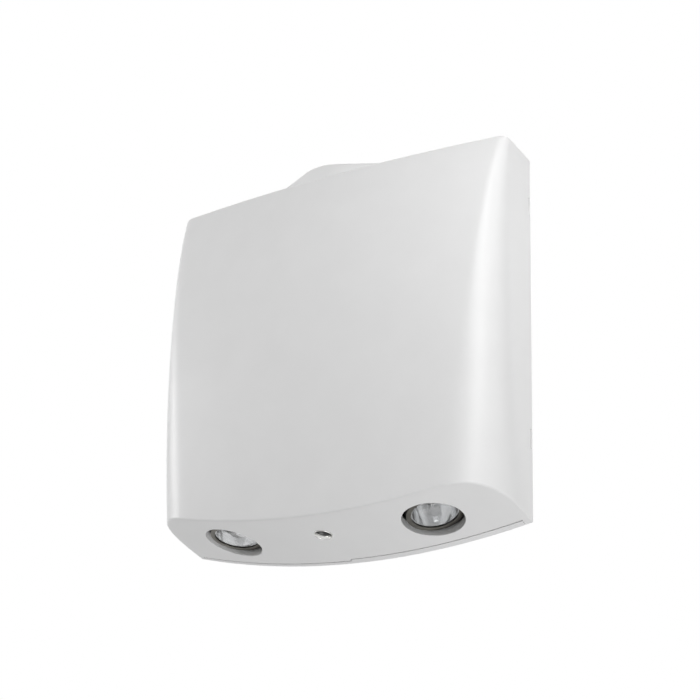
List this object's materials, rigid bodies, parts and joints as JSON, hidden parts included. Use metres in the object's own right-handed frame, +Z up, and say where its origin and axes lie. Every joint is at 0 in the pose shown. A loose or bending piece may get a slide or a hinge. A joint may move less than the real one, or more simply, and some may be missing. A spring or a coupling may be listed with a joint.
{
  "type": "wall-mounted emergency light",
  "caption": "White wall-mounted emergency light with recessed reflector lamps and a test button in its curved underside, and a conduit hub on top.",
  "frame": {"origin": "centre of the four wall holes, on the wall face of the back plate", "axes": "+X to the right seen from the room, +Y into the wall, +Z up; the front looks along -Y"},
  "size_m": [0.2826, 0.0715, 0.3013],
  "materials": {
    "white_paint": "satin off-white powder coat on a die-cast cover",
    "hub_paint": "satin off-white powder coat on the cast hub",
    "plate_plastic": "satin off-white powder coat on the back plate",
    "gasket_rubber": "matt black sponge rubber",
    "zinc_screws": "zinc-plated steel",
    "lamp_holder_black": "moulded heat-proof black plastic",
    "reflector_coating": "faceted glass bowl with a vapour-deposited mirror coat",
    "lamp_glass": "clear pressed glass",
    "bulb_quartz": "clear quartz capsule",
    "lamp_ceramic": "pressed ceramic, unglazed",
    "spring_steel": "hard drawn spring steel",
    "retainer_steel": "spring steel with black oxide",
    "lead_insulation": "extruded flexible plastic insulation",
    "switch_lead_insulation": "extruded flexible plastic insulation",
    "bezel_chrome": "turned brass with bright nickel plate",
    "button_smoke": "moulded smoke-grey translucent plastic",
    "switch_body": "moulded black plastic",
    "indicator_resin": "cast green resin",
    "battery_case": "moulded dark grey plastic",
    "terminal_brass": "stamped tin-brass",
    "strap_steel": "zinc-plated steel strip",
    "board_laminate": "glass-fibre laminate with green resist",
    "plug_nylon": "moulded natural nylon",
    "fuse_glass": "glass tube with plated end caps",
    "core_steel": "varnished stamped steel sheets",
    "coil_winding": "taped and varnished copper winding"
  },
  "bodies": {
    "case": {"front_cover": "white_paint", "back_plate": "plate_plastic", "case_gasket": "gasket_rubber", "conduit_hub": "hub_paint", "hub_screws": "zinc_screws", "left_pivot_screws": "zinc_screws", "left_lamp_leads": "lead_insulation", "right_pivot_screws": "zinc_screws", "right_lamp_leads": "lead_insulation", "button_bezel": "bezel_chrome", "bezel_nut": "bezel_chrome", "button_spring": "spring_steel", "test_switch": "switch_body", "indicator_light": "indicator_resin", "switch_leads": "switch_lead_insulation", "battery": "battery_case", "battery_terminals": "terminal_brass", "battery_strap": "strap_steel", "strap_screws": "zinc_screws", "battery_leads": "lead_insulation", "circuit_board": "board_laminate", "capacitors": "switch_body", "relay": "switch_body", "board_plugs": "plug_nylon", "fuse": "fuse_glass", "board_screws": "zinc_screws", "transformer_core": "core_steel", "transformer_coil": "coil_winding", "transformer_screws": "zinc_screws", "terminal_block": "plug_nylon", "terminal_screws": "terminal_brass"},
    "left_lamp": {"left_lamp_ring": "lamp_holder_black", "left_reflector": "reflector_coating", "left_front_glass": "lamp_glass", "left_bulb": "bulb_quartz", "left_lamp_base": "lamp_ceramic", "left_lamp_socket": "lamp_ceramic", "left_lamp_retainer": "retainer_steel"},
    "right_lamp": {"right_lamp_ring": "lamp_holder_black", "right_reflector": "reflector_coating", "right_front_glass": "lamp_glass", "right_bulb": "bulb_quartz", "right_lamp_base": "lamp_ceramic", "right_lamp_socket": "lamp_ceramic", "right_lamp_retainer": "retainer_steel"},
    "test_button": {"test_button": "button_smoke"}
  },
  "joints": [
    {"name": "left_lamp_aim", "type": "hinge", "parent": "case", "child": "left_lamp", "pos_m": [-0.07826, -0.03266, -0.12456], "axis": [0, 0.9668, -0.2554], "range_deg": [-6, 24], "deforming": ["left_lamp_leads"]},
    {"name": "right_lamp_aim", "type": "hinge", "parent": "case", "child": "right_lamp", "pos_m": [0.07826, -0.03266, -0.12456], "axis": [0, 0.9668, -0.2554], "range_deg": [-6, 24], "deforming": ["right_lamp_leads"]},
    {"name": "button_press", "type": "slide", "parent": "case", "child": "test_button", "axis": [0, 0.2554, 0.9668], "range_m": [0, 0.0015], "stiffness_N_per_m": 400, "springref_m": -0.001, "deforming": ["button_spring"]}
  ]
}
